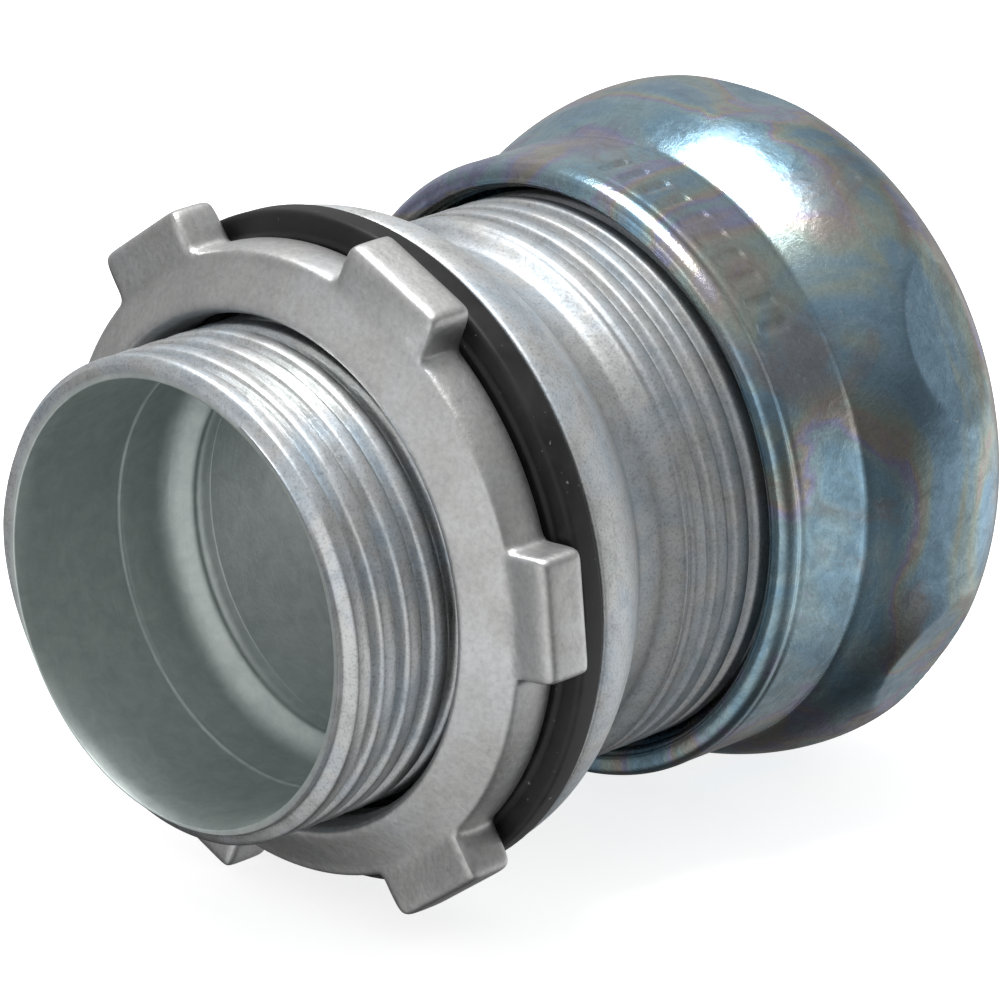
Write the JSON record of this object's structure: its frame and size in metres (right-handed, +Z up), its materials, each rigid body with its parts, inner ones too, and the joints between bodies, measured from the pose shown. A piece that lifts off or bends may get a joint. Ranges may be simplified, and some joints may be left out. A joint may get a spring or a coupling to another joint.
{
  "type": "conduit compression fitting",
  "caption": "Raintight connector that clamps a thin-wall steel conduit with a gland nut and fastens it to a box wall with a hub, sealing washer and locknut.",
  "frame": {"origin": "on the fitting's axis, in the face of the shoulder that clamps the box wall", "axes": "+X along the axis from the threaded hub towards the conduit entry, +Z up as the fitting lies, +Y to the left when looking along +X"},
  "size_m": [0.0471, 0.0388, 0.0376],
  "materials": {
    "bright_zinc_steel": "bright zinc electroplate on formed steel, satin with fine speckle",
    "cast_zinc": "matte tumbled zinc casting",
    "black_seal": "satin black moulded elastomer",
    "blue_chromate_steel": "clear-blue chromated zinc on steel, iridescent blue, teal and brown-pink stains",
    "ring_steel": "zinc-plated spring steel",
    "gland_rubber": "matte black moulded rubber"
  },
  "bodies": {
    "connector": {"connector_body": "bright_zinc_steel"},
    "wall_seal": {"hub_sealing_washer": "black_seal"},
    "lock": {"locknut": "cast_zinc"},
    "gland_stack": {"compression_ring": "ring_steel", "gland_gasket": "gland_rubber", "slip_washer": "ring_steel"},
    "gland": {"gland_nut": "blue_chromate_steel"}
  },
  "joints": [
    {"name": "wall_seal_slide", "type": "slide", "parent": "connector", "child": "wall_seal", "axis": [-1, 0, 0], "range_m": [0, 0.0138]},
    {"name": "locknut_turn", "type": "hinge", "parent": "wall_seal", "child": "lock", "pos_m": [0, 0, 0], "axis": [-1, 0, 0], "range_deg": [0, 2700]},
    {"name": "gland_stack_slide", "type": "slide", "parent": "connector", "child": "gland_stack", "axis": [1, 0, 0], "range_m": [-0.0008, 0.0128]},
    {"name": "gland_nut_turn", "type": "hinge", "parent": "gland_stack", "child": "gland", "pos_m": [0, 0, 0], "axis": [1, 0, 0], "range_deg": [-180, 2880]}
  ],
  "couplings": [
    {"joint": "wall_seal_slide", "follows": "locknut_turn", "m_per_rad": 0.00028875},
    {"joint": "gland_stack_slide", "follows": "gland_nut_turn", "m_per_rad": 0.00025266}
  ]
}
